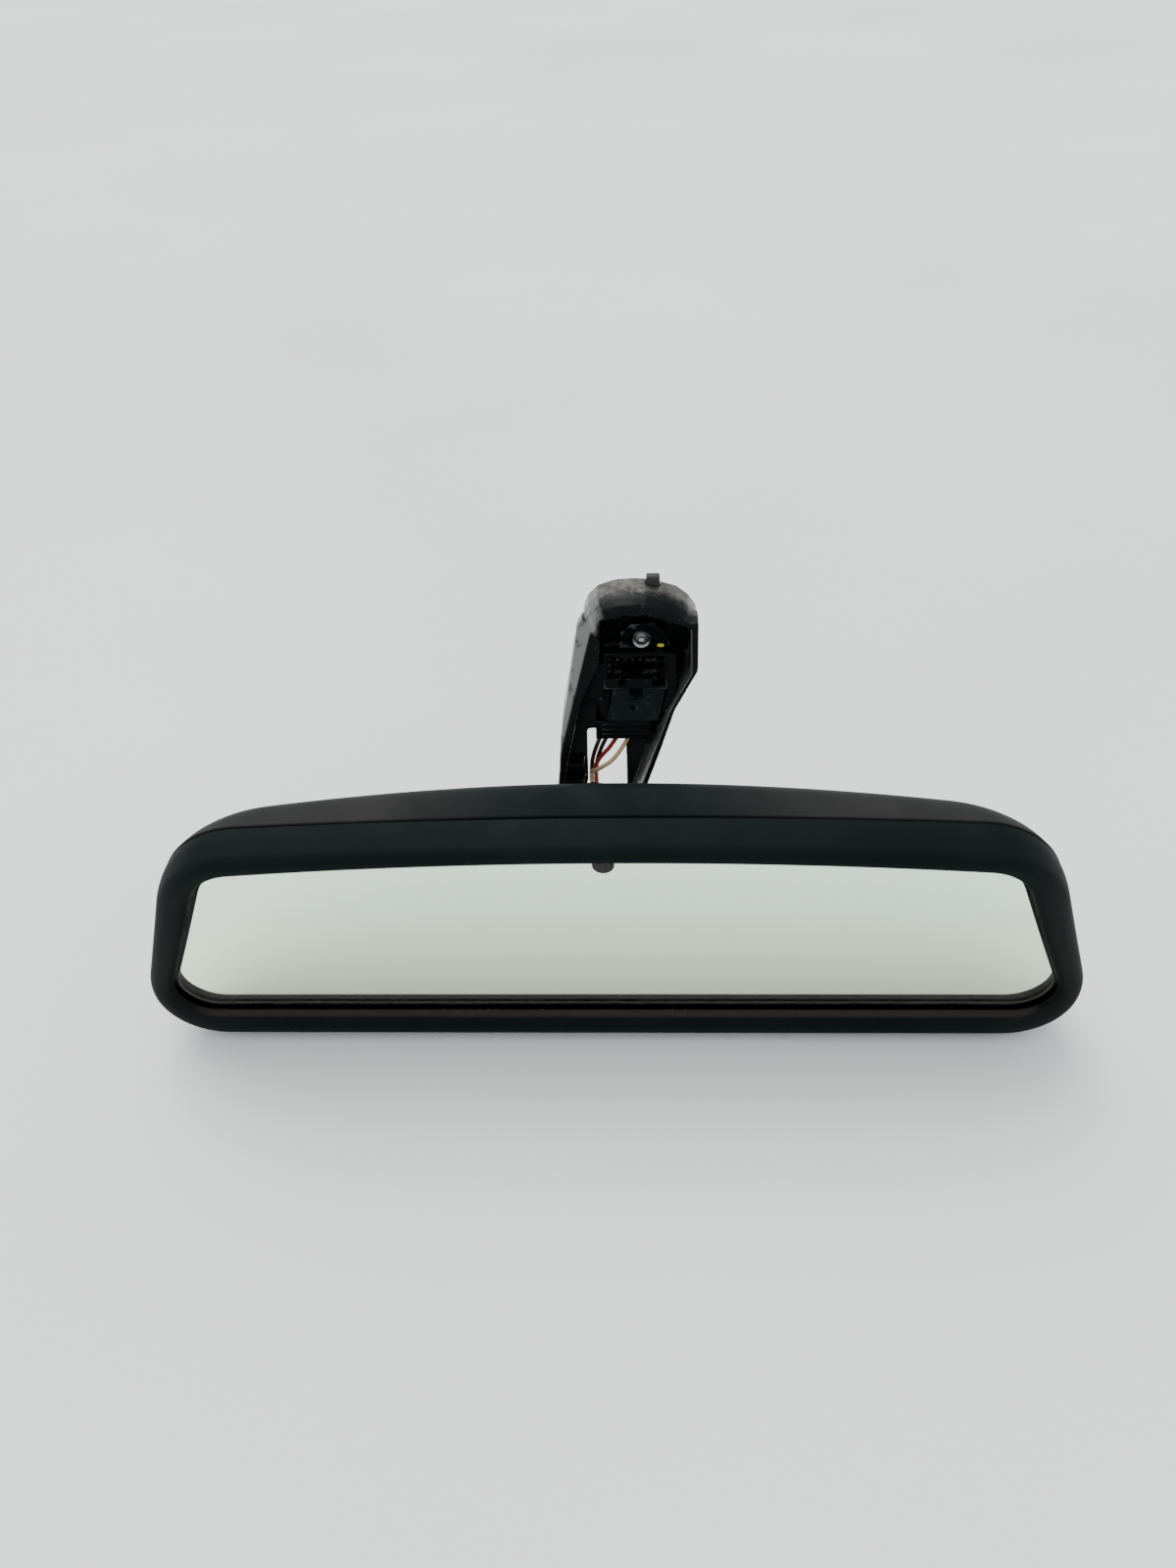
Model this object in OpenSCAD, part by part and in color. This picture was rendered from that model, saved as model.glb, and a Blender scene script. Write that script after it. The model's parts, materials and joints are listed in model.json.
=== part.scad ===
// Self-dimming interior rearview mirror on a cast arm with a windscreen foot.
// Origin: middle of the round socket in the foot, on the face that meets the windscreen plate.
// +X runs along the mirror to the viewer's right, +Y forward to the windscreen, +Z up.

/* [Glass opening] */
// Height of the visible glass
glass_h = 54.5; // [53:0.1:55]
// Half of the opening's width along its lower edge, before its corners are rounded
glass_low = 120; // [118:0.1:121]
// Half of the opening's width along its upper edge, before its corners are rounded
glass_high = 99.6; // [98:0.1:101]
// Drop of the upper edge 100 mm out from the middle
crown = 4.5; // [4.2:0.05:4.8]
// Corner radius at the lower edge
low_corner = 10; // [9:0.5:11]
// Corner radius at the upper edge
high_corner = 12; // [11:0.5:13]

/* [Glass cell] */
// Thickness of the clear front glass
front_t = 2.4; // [2.2:0.1:2.4]
// Gap between the two glasses, filled with the dimming gel
cell_gap = 0.2; // [0.15:0.05:0.2]
// Thickness of the silvered rear glass
mirror_t = 2.0; // [1.8:0.1:2]
// How far both glasses reach under the lip
glass_tuck = 1.8; // [1.5:0.1:1.9]
// Width of the seal around the gel
seal_w = 2.6; // [2:0.1:3]
// Radius of the clear spot for the glare sensor
eye_r = 2.7; // [2.5:0.1:2.7]

/* [Place of the head] */
// Middle of the glass opening on its front face, seen from the foot
head_at = [-9.4, -72, -46.45];
// Centre of the ball, seen from the middle of the glass
ball_in_head = [-4, 20, 4.95];

/* [Ball joint] */
// Radius of the ball
ball_r = 8.5; // [8.4:0.1:8.6]
// Wall of the two nylon seats around the ball
seat_t = 1.4; // [1.3:0.1:1.4]
// Running clearance on each side of a seat
seat_gap = 0.05; // [0.03:0.01:0.08]
// Radius of the stud's neck
neck_r = 4.2; // [4:0.1:4.4]
// Radius of the cable bore through the stud
cable_r = 2.6; // [2.4:0.1:2.8]

/* [Arm] */
// Outer radius of the foot
foot_r = 15.2; // [15:0.1:15.3]
// Depth of the foot from its mating face to its front rim
foot_d = 14; // [13.5:0.5:14.5]
// Radius of the socket for the windscreen plate
socket_r = 11; // [10.8:0.1:11.2]
// Length of the socket's straight wall
socket_d = 3.6; // [3.4:0.1:3.8]
// Wall thickness of the casting
wall = 1.8; // [1.6:0.1:2]

/* [Wires] */
// Outer diameter of each wire
wire_d = 1.2; // [1:0.1:1.2]

/* [Hidden] */
$fn = 64;
eps = 0.02;

// Depths behind the front face of the glass
seal_y = front_t;
mirror_y = seal_y + cell_gap;
foam_y = mirror_y + mirror_t;
foam_t = 0.8;
carrier_y = foam_y + foam_t;
carrier_t = 1.6;
carrier_back = carrier_y + carrier_t;
plate_y = carrier_back + 1.5;
plate_t = 0.6;
flange_y = plate_y + plate_t;
flange_t = 2;
board_y = 12.5;
board_t = 1.6;
board_back = board_y + board_t;

// Spheres of the ball joint, from the inside out
seat_in = ball_r + seat_gap;
seat_out = seat_in + seat_t;
cavity_r = seat_out + seat_gap;
barrel_r = cavity_r + 1.8;
ball_at = head_at + ball_in_head;

// Places on the mirror, seen from the middle of the glass
eye_at = [0, 23.35];
ambient_at = [40, 12];
status_at = [0, 2.2];
board_posts = [[-58, 15], [58, 15], [-58, -17], [58, -17]];
socket_bolts = [for (a = [45:90:315]) 16 * [cos(a), sin(a)]];

// ---------- outlines and lofts ----------

function unit(v) = v / norm(v);
function turn(v, a) = [v[0] * cos(a) - v[1] * sin(a), v[0] * sin(a) + v[1] * cos(a)];

// Arc that rounds the corner p between the directions of a and b, counter-clockwise
function rounded(a, p, b, r, steps) =
    let (u = unit(a - p), v = unit(b - p), half = acos(u * v) / 2)
    let (centre = p + unit(u + v) * r / sin(half), from = p + u * r / tan(half) - centre)
    [for (i = [0:steps]) centre + turn(from, (180 - 2 * half) * i / steps)];

// Points strictly between a and b
function between(a, b, count) = [for (i = [1:count]) a + (b - a) * i / (count + 1)];

// The glass opening grown by side, top and bottom, its corner radii by more; arch is its upper edge's crown
function outline(side = 0, top = 0, bottom = 0, more = 0, arch = crown) =
    let (z0 = -glass_h / 2 - bottom, z1 = glass_h / 2 + top)
    let (sw = [-glass_low - side, z0], se = [glass_low + side, z0])
    let (ne = [glass_high + 0.87 * side, z1], nw = [-glass_high - 0.87 * side, z1])
    let (c1 = rounded(nw, sw, se, low_corner + more, 8), c2 = rounded(sw, se, ne, low_corner + more, 8))
    let (c3 = rounded(se, ne, nw, high_corner + more, 8), c4 = rounded(ne, nw, sw, high_corner + more, 8))
    [for (p = concat(c1, between(c1[8], c2[0], 11), c2, between(c2[8], c3[0], 2),
                     c3, between(c3[8], c4[0], 11), c4, between(c4[8], c1[0], 2)))
        [p[0], p[1] - arch * pow(p[0] / 100, 2) * (p[1] - z0) / (z1 - z0)]];

// A station of the mirror's casing: [depth, side, top, bottom, more, arch]
function station(s) = [for (p = outline(s[1], s[2], s[3], s[4], s[5])) [p[0], s[0], p[1]]];

// A round station about the ball's axis, with its points at the same bearings as another's
function round_station(y, r, like) = [for (p = station(like))
    let (bearing = atan2(p[2] - ball_in_head[2], p[0] - ball_in_head[0]))
    [ball_in_head[0] + r * cos(bearing), y, ball_in_head[2] + r * sin(bearing)]];

// Skin over rings of equally many points; the last ring joins the first when looped
module loft(rings, looped) {
    n = len(rings[0]);
    m = len(rings);
    sides = [for (j = [0:m - (looped ? 1 : 2)], i = [0:n - 1])
        let (k = (i + 1) % n, a = j * n, b = ((j + 1) % m) * n)
        each [[a + i, a + k, b + i], [a + k, b + k, b + i]]];
    ends = looped ? [] : [[for (i = [n - 1:-1:0]) i], [for (i = [0:n - 1]) (m - 1) * n + i]];
    polyhedron(points = [for (r = rings, p = r) p], faces = concat(sides, ends));
}

// Point on a smooth curve through the route's points, t from 0 to the number of spans
function along(route, t) =
    let (n = len(route) - 1, i = min(floor(t), n - 1), f = t - i)
    let (p0 = route[max(i - 1, 0)], p1 = route[i], p2 = route[i + 1], p3 = route[min(i + 2, n)])
    0.5 * (2 * p1 + (p2 - p0) * f + (2 * p0 - 5 * p1 + 4 * p2 - p3) * f * f
        + (3 * p1 - p0 - 3 * p2 + p3) * f * f * f);

// Round tube along a smooth route
module tube(route, d) {
    spans = len(route) - 1;
    steps = spans * 4;
    path = [for (i = [0:steps]) along(route, i * spans / steps)];
    rings = [for (i = [0:steps])
        let (t = unit(path[min(i + 1, steps)] - path[max(i - 1, 0)]))
        let (u = unit(cross(t, [0.9, 0.1, 0.3])), v = cross(t, u))
        [for (k = [0:7]) path[i] + d / 2 * (u * cos(45 * k) + v * sin(45 * k))]];
    loft(rings, false);
}

// ---------- placing ----------

module in_head() { translate(head_at) children(); }
module at_ball() { translate(ball_at) children(); }

// Cylinder along +Y from y0 to y1
module rod(r, y0, y1, r2 = undef) {
    translate([0, y0, 0]) rotate([-90, 0, 0]) cylinder(h = y1 - y0, r1 = r, r2 = r2 == undef ? r : r2);
}

// Sphere with its poles on the Y axis
module ball(r) { rotate([-90, 0, 0]) sphere(r); }

// Flat plate of the glass outline, from depth y0, t thick
module glass_plate(y0, t, grow) {
    translate([0, y0 + t, 0]) rotate([90, 0, 0]) linear_extrude(t) polygon(outline(grow, grow, grow, grow));
}

// Box with its lower corner at a and its upper corner at b
module block(a, b) { translate(a) cube(b - a); }

// ---------- head: glass ----------

module front_glass() {
    color([0.80, 0.86, 0.80, 0.5]) in_head() glass_plate(0, front_t, glass_tuck);
}

module cell_seal() {
    color("#4a3a30") in_head() difference() {
        glass_plate(seal_y, cell_gap, glass_tuck);
        glass_plate(seal_y - eps, cell_gap + 2 * eps, glass_tuck - seal_w);
    }
}

module mirror_glass() {
    color([0.78, 0.84, 0.78]) in_head() difference() {
        glass_plate(mirror_y, mirror_t, glass_tuck);
        eye_hole(mirror_y, foam_y);
    }
}

module eye_hole(y0, y1) {
    translate([eye_at[0], 0, eye_at[1]]) rod(eye_r + 0.05, y0 - eps, y1 + eps);
}

// Spring-metal strips that feed the dimming cell along its long edges
module bus_clips() {
    clip_t = 0.2;
    edge = glass_h / 2 + glass_tuck + 0.03;
    color("goldenrod") in_head() for (clip = [[-edge - clip_t, 100], [edge, 40]])
        translate([-clip[1] / 2, mirror_y + 0.1, clip[0]]) difference() {
            cube([clip[1], mirror_t, clip_t]);
            for (i = [1:3]) translate([i * clip[1] / 4 - 1, -eps, -eps]) cube([2, 1, 1]);
        }
}

module foam_pad() {
    color("#30343a") in_head() difference() {
        glass_plate(foam_y, foam_t, glass_tuck - 4);
        eye_hole(foam_y, carrier_y);
    }
}

// Moulded plate that carries the glass, the board and the ball socket
module glass_carrier() {
    color("#24282a") in_head() difference() {
        union() {
            glass_plate(carrier_y, carrier_t, glass_tuck);
            for (p = board_posts) translate([p[0], 0, p[1]]) rod(3, carrier_back - eps, board_y);
            at_socket_bolts() rod(3.2, carrier_back - eps, plate_y);
            for (x = [-88, -74, 74, 88])
                block([x, carrier_back - eps, -16], [x + 1.4, carrier_back + 4, 16]);
        }
        eye_hole(carrier_y, carrier_back);
        for (p = board_posts) translate([p[0], 0, p[1]]) rod(1.25, carrier_y + 0.8, board_y + eps);
        at_socket_bolts() rod(1.5, carrier_y + 0.4, plate_y + eps);
    }
}

module at_socket_bolts() {
    for (b = socket_bolts) translate([ball_in_head[0] + b[0], 0, ball_in_head[2] + b[1]]) children();
}

// ---------- head: casing ----------

// Front frame: a rounded lip over the glass and a side wall back to the seam
module bezel() {
    color("#1e2626") in_head() difference() {
        loft([for (s = [
            [-0.05, 0, 0, 0, 0, 4.5], [-1.9, 0.5, 0.4, 0.5, 0.5, 4.5], [-3.1, 1.8, 1.3, 1.8, 1.8, 4.3],
            [-3.5, 3.7, 2.4, 3.5, 4, 4], [-3.1, 6, 3.6, 5.6, 6, 3.8], [-1.6, 8, 4.8, 7.4, 8.5, 3.5],
            [0.8, 8.9, 5.6, 8.5, 10, 3.3], [4, 9, 6.4, 8.8, 10, 3.2], [7, 8.6, 6.9, 8.5, 10, 3.2],
            [7, 6.8, 5.1, 6.6, 9.3, 3.3], [2.6, 7, 3.8, 6.4, 8.5, 3.6], [2.6, 2.1, 2.1, 2.1, 2, 4.5],
            [-0.05, 2.1, 2.1, 2.1, 2, 4.5]]) station(s)], true);
        status_hole();
    }
}

// Hole through the bottom wall of the bezel for the status lamp
module status_hole() {
    translate([status_at[0], status_at[1], -glass_h / 2 - 10]) cylinder(r = 1.95, h = 6);
}

// Back shell: a tongue into the bezel, a bulging back and a round opening for the stud
module rear_housing() {
    back = [29.8, -34, -7.5, -10, -1, 6];
    color("#2c2f2e") in_head() difference() {
        loft(concat(
            [for (s = [[5.4, 5.2, 3.0, 4.9, 7.5, 3.6], [5.4, 6.67, 4.43, 6.33, 9, 3.5],
                [7.6, 6.6, 4.9, 6.4, 9.3, 3.4],
                [7.6, 8.7, 6.9, 8.6, 10, 3.2], [12, 7.8, 8.3, 9, 12, 5],
                [16, 6.3, 8.9, 8.8, 14, 7.4],
                [20, 2.5, 7, 7.4, 15, 9.2], [24, -5, 2.6, 4.2, 14, 10], [28, -18, -1.5, -2.4, 8, 9], back])
                station(s)],
            [round_station(30.4, 12.6, back), round_station(28.4, 12.6, back)],
            [for (s = [[27.9, -34, -9.5, -12.5, -3, 6], [26.2, -19.5, -3.5, -4.4, 6, 9],
                [22.5, -7, 0.6, 2.2, 12, 10],
                [19, 0.4, 4.9, 5.4, 13, 9.2], [15.6, 4.2, 6.9, 6.8, 12, 7.4], [11.6, 5.7, 6.3, 7, 10, 5],
                [7.6, 5.2, 3.4, 4.9, 7.5, 3.5]]) station(s)]), true);
        translate([ambient_at[0], 0, ambient_at[1]]) rod(3.05, 20, 34);
    }
}

// ---------- head: electronics ----------

module circuit_board() {
    color("#1d5c34") in_head() difference() {
        block([-64, board_y, -22], [66, board_back, 26.5]);
        at_socket_axis() rod(barrel_r + 1, board_y - eps, board_back + eps);
        for (p = board_posts) translate([p[0], 0, p[1]]) rod(1.4, board_y - eps, board_back + eps);
        for (side = [-1, 1])
            block([side * 60 - 12, board_y - eps, 20], [side * 60 + 12, board_back + eps, 27]);
    }
}

module at_socket_axis() { translate([ball_in_head[0], 0, ball_in_head[2]]) children(); }

module board_header() {
    color("ivory") in_head() difference() {
        block([20, board_y - 3.6, -16], [32, board_y, -9]);
        block([21.2, board_y - 3.6 - eps, -14.8], [30.8, board_y - 1.2, -10.2]);
    }
}

module board_chips() {
    color("#202020") in_head() {
        for (p = [[30, -2, 7], [44, -10, 5], [-36, 4, 7], [-48, -8, 4]])
            block([p[0], board_back, p[1]], [p[0] + p[2], board_back + 1.4, p[1] + p[2]]);
    }
}

module board_capacitors() {
    color("silver") in_head() for (p = [[24, 13], [31, 14], [-26, -12], [-33, -13]])
        translate([p[0], 0, p[1]]) rod(2.5, board_back, board_back + 5);
}

module screw(length, shank_r, head_r, head_t) {
    difference() {
        union() {
            rod(shank_r, -length, 0);
            rod(head_r, 0, head_t);
        }
        for (a = [0, 90]) rotate([0, a, 0])
            block([-head_r * 0.7, head_t * 0.4, -0.3], [head_r * 0.7, head_t + eps, 0.3]);
    }
}

module board_screws() {
    color("gray") in_head() for (p = board_posts)
        translate([p[0], board_back, p[1]]) screw(6, 1.25, 2.5, 1.5);
}

module glare_sensor() {
    color("#15151a") in_head() translate([eye_at[0], 0, eye_at[1]])
        block([-2.5, board_y - 1.6, -2.5], [2.5, board_y, 2.5]);
}

// Light guide from the clear spot of the mirror to the glare sensor
module sensor_window() {
    color("#3a3638") in_head() translate([eye_at[0], 0, eye_at[1]]) rod(eye_r, mirror_y, board_y - 1.7);
}

module ambient_sensor() {
    color("#15151a") in_head() translate([ambient_at[0], 0, ambient_at[1]]) {
        block([-2.5, board_back, -2.5], [2.5, board_back + 1.6, 2.5]);
    }
}

// Clear light guide from the board to the back of the shell
module ambient_lens() {
    color("#3a3638") in_head() translate([ambient_at[0], 0, ambient_at[1]]) {
        rod(2.2, board_back + 1.7, 26);
        rod(3, 26, 30);
    }
}

module status_led() {
    color("white") in_head() translate([status_at[0], carrier_back, -glass_h / 2])
        block([-1.5, 0, -3.8], [1.5, 2, -0.6]);
}

// Small tinted lens that shows under the bezel
module status_lens() {
    color("#3b2f3f") in_head()
        translate([status_at[0], status_at[1], -glass_h / 2 - 9.3]) cylinder(r = 1.9, h = 3.6);
}

// ---------- head: ball socket ----------

module socket_base() {
    color("#2a2d30") in_head() at_socket_axis() difference() {
        union() {
            rod(barrel_r, flange_y, ball_in_head[1] + 9.2);
            rod(13.4, flange_y, flange_y + flange_t);
            for (a = [45, -45]) rotate([0, a, 0]) {
                block([-16, flange_y, -3.4], [16, flange_y + flange_t, 3.4]);
                for (x = [-16, 16]) translate([x, 0, 0]) rod(3.4, flange_y, flange_y + flange_t);
            }
        }
        translate([0, ball_in_head[1], 0]) sphere(cavity_r);
        rod(cavity_r + seat_gap, flange_y - eps, ball_in_head[1] - 0.5);
        rod(8, ball_in_head[1], ball_in_head[1] + 10);
        for (b = socket_bolts)
            translate([b[0], 0, b[1]]) rod(1.6, flange_y - eps, flange_y + flange_t + eps);
    }
}

// Thrust cap with a spherical face that presses on the front seat
module socket_cap() {
    color("#b8b9b4") at_ball() difference() {
        rod(seat_out, -10, -4.2);
        ball(cavity_r);
        rod(3.4, -11, 0);
    }
}

// Disc spring behind the spring plate
module clamp_spring() {
    color("silver") at_ball() difference() {
        rod(9.2, -10.9, -10, 6.6);
        rod(8.2, -10.9 - eps, -10.3, 6.2);
        rod(4.6, -11, -9.9);
    }
}

module spring_plate() {
    color("silver") in_head() at_socket_axis() difference() {
        union() {
            rod(13.4, plate_y, flange_y);
            for (a = [45, -45]) rotate([0, a, 0]) {
                block([-16, plate_y, -3.4], [16, flange_y, 3.4]);
                for (x = [-16, 16]) translate([x, 0, 0]) rod(3.4, plate_y, flange_y);
            }
        }
        rod(3.4, plate_y - eps, flange_y + eps);
        for (b = socket_bolts) translate([b[0], 0, b[1]]) rod(1.6, plate_y - eps, flange_y + eps);
    }
}

module socket_screws() {
    color("gray") in_head() at_socket_bolts()
        translate([0, flange_y + flange_t, 0]) screw(5.2, 1.5, 2.6, 1.2);
}

// ---------- ball joint ----------

// Spherical shell around the ball, kept between two planes across the stud's axis
module seat(y0, y1) {
    at_ball() intersection() {
        difference() {
            ball(seat_out);
            ball(seat_in);
        }
        rod(seat_out + 1, y0, y1);
    }
}

module seat_ring() { color("ivory") seat(1.6, 5.7); }
module seat_cup() { color("ivory") seat(-8, -1.8); }

// ---------- arm ----------

ball_x = ball_at[0];
ball_z = ball_at[2];
lean = 0.53;
foot_front = -foot_d;
web_y = -5;
web_front = web_y - wall;
stud_seat = -34.5;
boss_back = -26.5;
boss_r = 9.5;
floor_front = web_front - 1.2;
pad_front = -11.3;
rivet_at = [0.2, 4.2];
peg_low = [1.6, -3.4, 14.6];
peg_high = [5.2, -1.0, 18.2];

// Depth of the arm's sloping front face at height z, moved back by in
function front_y(z, in = 0) = foot_front - lean * (5.5 - z) + in;

// Outline of the leg seen from the front
leg_outline = [
    [15.3, 9], [15.1, -2.2], [9, -11.2], [4.4, -22.4], [1.2, -29.5], [-1.8, -37.5], [-4, -44], [-22.5, -44],
    [-23.9, -37.5], [-22.9, -31], [-22.4, -27], [-21.8, -18.6], [-21.2, -14.5], [-19.4, -6.5], [-18.4, -0.5],
    [-17.6, 3.1], [-17.1, 6.6], [-15.4, 9.4]];

// Opening of the foot and the leg's channel seen from the front, made smaller by t
function mouth_outline(t) = [
    [13.2 - t, 7.3 - t], [13.2 - t, -2.9], [7.2 - t, -11.8], [2.6 - t, -22.6], [-0.6 - t, -29.9],
    [-3.6 - t, -36 + t],
    [-22.6 + t, -36 + t], [-21.1 + t, -28.3], [-19.1 + t, -20.5], [-17.1 + t, -12.5], [-15 + t, -7.7],
    [-11 + t, -0.6], [-10.7 + t, 3.3], [-10.4 + t, 10.8 - t], [-8.1, 11.4 - t], [-3.7, 12.5 - t],
    [0.7, 12.6 - t],
    [5.1, 11.5 - t], [9.5, 9.6 - t]];

// Side profile of the leg: sloping front, sloping back
leg_profile = [
    [front_y(9), 9], [stud_seat, -33.2], [stud_seat, -53], [boss_back, -53], [boss_back, -38], [-8, -11],
    [web_y, -5], [web_y, 9]];

// Y and Z of the channel's floor, from its upper end down
channel_floor = [[web_front, 14], [web_front, -8.2], [-10.2, -11], [-28.7, -38]];

// Outline of the foot's hood seen from the front
hood_outline = [
    [15.4, -2], [15.4, 4.6], [14.8, 8.3], [12.9, 11.4], [9.7, 14], [5.2, 15.5], [1.6, 16.3], [-1.9, 16.6],
    [-6.9, 16.2], [-11.4, 14.7], [-14, 12], [-15.3, 8.9], [-15.5, 4.5], [-15.4, -2]];

// Depth and inset of the rings that round the hood's shoulder
hood_rings = [[-14.1, 4], [-13.4, 2.9], [-12, 1.8], [-9.5, 0.8], [-6, 0.2], [-0.5, 0], [0, 0.4]];

module along_y(points) { translate([0, 10, 0]) rotate([90, 0, 0]) linear_extrude(80) polygon(points); }

// Extrudes a profile drawn in Y and Z across the whole width
module across(points) { translate([-40, 0, 0]) rotate([90, 0, 90]) linear_extrude(80) polygon(points); }

module leg() {
    difference() {
        intersection() {
            along_y(leg_outline);
            across(leg_profile);
        }
        flank_chamfer();
    }
}

// Wedge that slopes the left flank back from its front face
module flank_chamfer() {
    loft([for (z = [14, -48])
        let (edge = -14.3 - 0.3 * (3.3 - z), side = -17.7 - 0.19 * (3.3 - z), y = front_y(z))
        [[edge, y - 4, z], [edge, y, z], [side, y + 5, z],
            [side - 12, y + 5, z], [side - 12, y - 4, z]]], false);
}

module hood() {
    loft([for (r = hood_rings) [for (p = hood_outline)
        [p[0] * (1 - r[1] / 15.4), r[0], p[1] * (1 - r[1] / 16.6)]]], false);
}

// Opening of the foot, running on as the channel down the front of the leg
module leg_channel() {
    intersection() {
        along_y(mouth_outline(0));
        across(concat([[-60, 14]], channel_floor, [[-60, -38]]));
    }
}

// Opening through the back of the channel, where the cable passes behind the leg
module cable_window() {
    intersection() {
        along_y([[-15, -21], [-4.4, -21], [-4.2, -35.6], [-14.8, -35.4]]);
        across([[-34, -19], [-8, -19], [-8, -40], [-34, -40]]);
    }
}

module arm_casting() {
    color("#3a3c3d") difference() {
        union() {
            difference() {
                union() {
                    leg();
                    hood();
                    rod(foot_r, -6, 0);
                }
                leg_channel();
                cable_window();
            }
            translate([ball_x, 0, ball_z]) rod(boss_r, stud_seat, boss_back);
            for (z = [-27, -31]) block([-21.6, front_y(z) + 5, z - 0.4], [-15.6, front_y(z) + 11, z + 0.4]);
        }
        translate([ball_x, 0, ball_z]) {
            rod(5.02, stud_seat - eps, boss_back + eps);
            rod(8.2, boss_back, boss_back + 12);
        }
        rod(socket_r, -socket_d, eps);
        rod(socket_r + 1.7, web_y, -socket_d);
        translate([rivet_at[0], 0, rivet_at[1]]) rod(1.05, web_front - eps, web_y + eps);
        block(peg_low, peg_high);
        for (s = [[-5, -16.2], [-15, -18.6], [-21.5, -19.8]])
            block([-30, front_y(s[0]) + 5.2, s[0] - 1.9], [s[1], front_y(s[0]) + 7.2, s[0] + 1.9]);
    }
}

module ball_stud() {
    color("#8d8f90") translate([ball_x, 0, ball_z]) difference() {
        union() {
    translate([0, ball_at[1], 0]) ball(ball_r);
            rod(neck_r, ball_at[1], stud_seat - 1.5);
            rod(7, stud_seat - 1.5, stud_seat);
            rod(5, stud_seat, boss_back + 0.9);
        }
        rod(cable_r, ball_at[1] - ball_r - 1, boss_back + 1);
    }
}

// Push-on ring that holds the stud behind the boss
module stud_retainer() {
    color("silver") translate([ball_x, 0, ball_z]) difference() {
        rod(8, boss_back, boss_back + 0.8);
        rod(5, boss_back - eps, boss_back + 1);
    }
}

// Wire clip in the undercut behind the socket wall; it snaps behind the windscreen plate
module mount_spring() {
    color("silver") translate([0, (web_y - socket_d) / 2, 0]) rotate([90, 0, 0]) rotate([0, 0, 290])
        rotate_extrude(angle = 320) translate([socket_r + 0.9, 0]) circle(r = 0.6);
}

module spring_rivet() {
    head = pad_front - 0.7;
    color("#a9abab") translate([rivet_at[0], 0, rivet_at[1]]) {
        difference() {
            rod(2.4, head, pad_front, 2.6);
            rod(1.8, head - eps, head + 0.35);
        }
        rod(1.05, head, web_y);
        translate([0, head, 0]) ball(1.05);
    }
}

// Rubber peg on the rim that stops the foot turning on its plate
module locating_peg() { color("#2b2b2b") block(peg_low, peg_high); }

module paint_dot() {
    color("#c8c23a") translate([5.3, 0, 2.1]) {
        for (x = [-0.4, 0.4]) translate([x, 0, 0]) rod(0.5, pad_front - 0.1, pad_front);
        block([-0.4, pad_front - 0.1, -0.5], [0.4, pad_front, 0.5]);
    }
}

// ---------- arm: connector ----------

// Plastic insert on the web: a floor plate, a pad for the rivet and two cheeks beside the connector
module connector_carrier() {
    color("#161b1c") difference() {
        union() {
            intersection() {
                along_y(mouth_outline(0.15));
                block([-20, floor_front, -7.6], [20, web_front, 14]);
            }
            intersection() {
                along_y([[6.9, 1.5], [6.4, 6.3], [3.6, 8.6], [-2.4, 8.6], [-5.2, 6.3], [-5.6, 1.5]]);
                block([-20, pad_front, 0], [20, floor_front, 10]);
            }
            intersection() {
                along_y(mouth_outline(0.15));
                union() {
                    along_y([[-9.95, -1], [-9.95, -7.3], [-10.6, -9.6], [-15.8, -9.6], [-15.8, -1]]);
                    along_y([[9.4, 1], [9.4, -12.4], [5.7, -12.4], [7.1, -7.4], [7.1, 1]]);
                }
                across([[front_y(1, 2.4), 1], [front_y(-14, 2.4), -14], [-12.5, -14], [-10.4, -11],
                    [floor_front + 0.9, -8.3], [floor_front + 0.9, 1]]);
            }
        }
        translate([rivet_at[0], 0, rivet_at[1]]) rod(1.05, pad_front - eps, web_front + eps);
    }
}

// Socket that takes the vehicle's plug, with its mouth to the front
module connector_housing() {
    cavity_floor = floor_front - 1.2;
    color("#0f1213") difference() {
        intersection() {
            block([-9.9, -30, -7.1], [7, floor_front - 0.1, 1.3]);
            across([[front_y(1.4, 2.2), 1.4], [front_y(-7.2, 2.2), -7.2], [floor_front - 0.1, -7.2],
                [floor_front - 0.1, 1.4]]);
        }
        block([-9.1, -40, -4.7], [6.3, cavity_floor, 0.6]);
        block([-6.1, -40, -6.4], [-4.1, cavity_floor - 4, -4.6]);
        block([3.1, -40, -6.5], [6.3, cavity_floor - 4, -4.6]);
    }
    color("#0f1213") for (i = [0:2])
        let (z = -3.9 + 1.5 * i) block([-9.15, front_y(z, 3.2), z], [-8.2, cavity_floor + eps, z + 0.6]);
}

module connector_pins() {
    color("goldenrod") for (i = [0:5])
        block([-6.6 + 2 * i, floor_front - 3.6, -2.4], [-6 + 2 * i, floor_front - 1.2, -1.8]);
}

// Lower body of the connector that locks the terminals in
module connector_lock() {
    color("#10201f") difference() {
        intersection() {
            along_y([[6.8, -7.2], [4.5, -15.2], [-9.3, -15.2], [-7.3, -7.2]]);
            across([[front_y(-7.2, 3.4), -7.2], [front_y(-15.2, 3.4), -15.2], [-14.6, -15.2], [-9.8, -7.5],
                [-9.8, -7.2]]);
        }
        block([-3.2, -40, -9.2], [0.4, front_y(-8, 4.8), -7]);
        translate([-2.4, 0, -12.2]) rod(0.7, -40, front_y(-12.2, 3.7));
    }
    color("#10201f") block([-3.4, front_y(-9.6, 2.9), -9.9], [0.5, front_y(-9.6, 5), -9.2]);
}

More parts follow.
